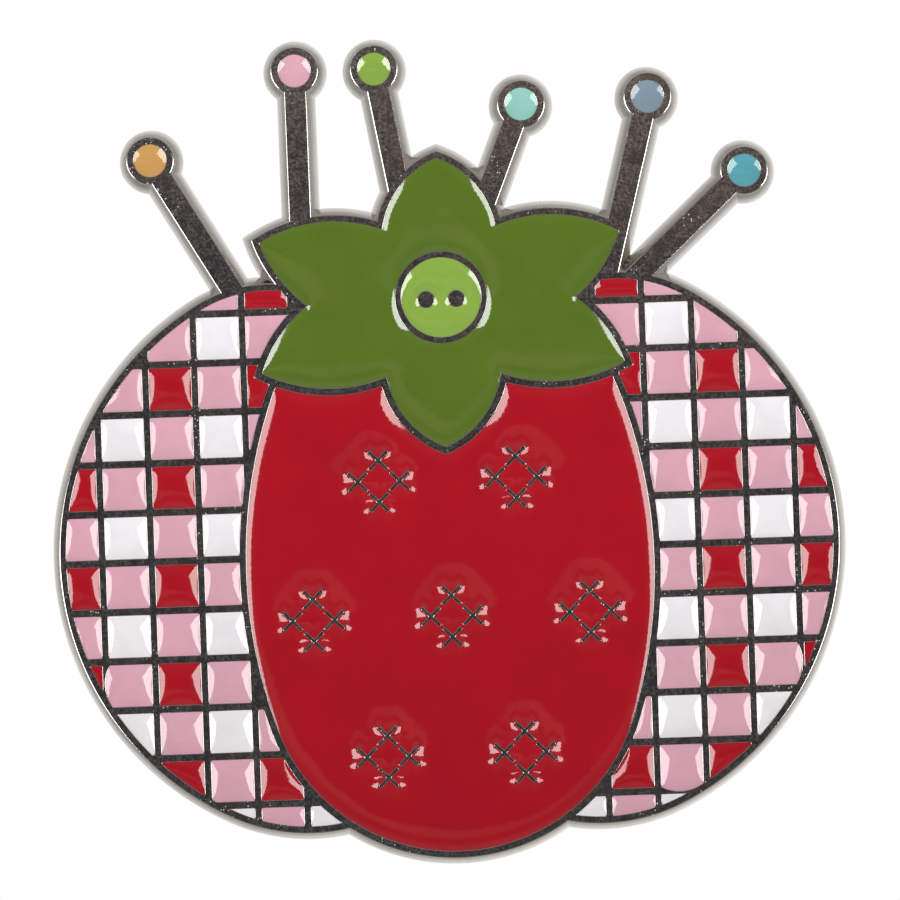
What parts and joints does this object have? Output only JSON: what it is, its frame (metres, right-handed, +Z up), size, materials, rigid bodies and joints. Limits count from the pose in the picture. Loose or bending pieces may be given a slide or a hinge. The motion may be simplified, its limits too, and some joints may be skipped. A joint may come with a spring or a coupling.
{
  "type": "needle minder",
  "caption": "Flat enamelled metal badge shaped like a strawberry pin cushion stuck with pins, with a glued back magnet and a loose keeper magnet that clamps fabric.",
  "frame": {"origin": "centre of the fabric grip face, where the fixed magnet's rear face meets the keeper magnet", "axes": "+X to the right seen from the front, +Z up towards the pin heads, enamelled face towards -Y, keeper magnet on the +Y side"},
  "size_m": [0.0452, 0.0057, 0.0473],
  "materials": {
    "plated_metal": "polished nickel plating over die-struck metal, mirror-bright line tops",
    "enamel_red": "gloss soft enamel, strawberry red",
    "enamel_pink": "gloss soft enamel, soft pink",
    "enamel_white": "gloss soft enamel, white",
    "enamel_leaf_green": "gloss soft enamel, leaf green",
    "enamel_lime": "gloss soft enamel, lime green",
    "enamel_amber": "gloss soft enamel, amber",
    "enamel_aqua": "gloss soft enamel, pale aqua",
    "enamel_slate": "gloss soft enamel, slate blue",
    "enamel_teal": "gloss soft enamel, teal",
    "magnet_plating": "bright nickel plating over sintered magnet",
    "clear_adhesive": "clear set adhesive"
  },
  "bodies": {
    "badge": {"base_plate": "plated_metal", "enamel_button": "enamel_lime", "enamel_leaf": "enamel_leaf_green", "enamel_left_col1_white": "enamel_white", "enamel_left_col2_pink": "enamel_pink", "enamel_left_col2_red": "enamel_red", "enamel_left_col3_pink": "enamel_pink", "enamel_left_col3_white": "enamel_white", "enamel_left_col4_pink": "enamel_pink", "enamel_left_col4_red": "enamel_red", "enamel_left_col5_pink": "enamel_pink", "enamel_left_col5_white": "enamel_white", "enamel_left_col6_pink": "enamel_pink", "enamel_left_col6_red": "enamel_red", "enamel_pin_amber": "enamel_amber", "enamel_pin_aqua": "enamel_aqua", "enamel_pin_lime": "enamel_lime", "enamel_pin_pink": "enamel_pink", "enamel_pin_slate": "enamel_slate", "enamel_pin_teal": "enamel_teal", "enamel_right_col1_white": "enamel_white", "enamel_right_col2_pink": "enamel_pink", "enamel_right_col2_red": "enamel_red", "enamel_right_col3_pink": "enamel_pink", "enamel_right_col3_white": "enamel_white", "enamel_right_col4_pink": "enamel_pink", "enamel_right_col4_red": "enamel_red", "enamel_right_col5_pink": "enamel_pink", "enamel_right_col5_white": "enamel_white", "enamel_right_col6_pink": "enamel_pink", "enamel_right_col6_red": "enamel_red", "enamel_strawberry": "enamel_red", "fixed_magnet": "magnet_plating", "magnet_adhesive": "clear_adhesive"},
    "keeper": {"keeper_magnet": "magnet_plating"}
  },
  "joints": [
    {"name": "keeper_pull_off", "type": "slide", "parent": "badge", "child": "keeper", "axis": [0, 1, 0], "range_m": [0, 0.02]}
  ]
}
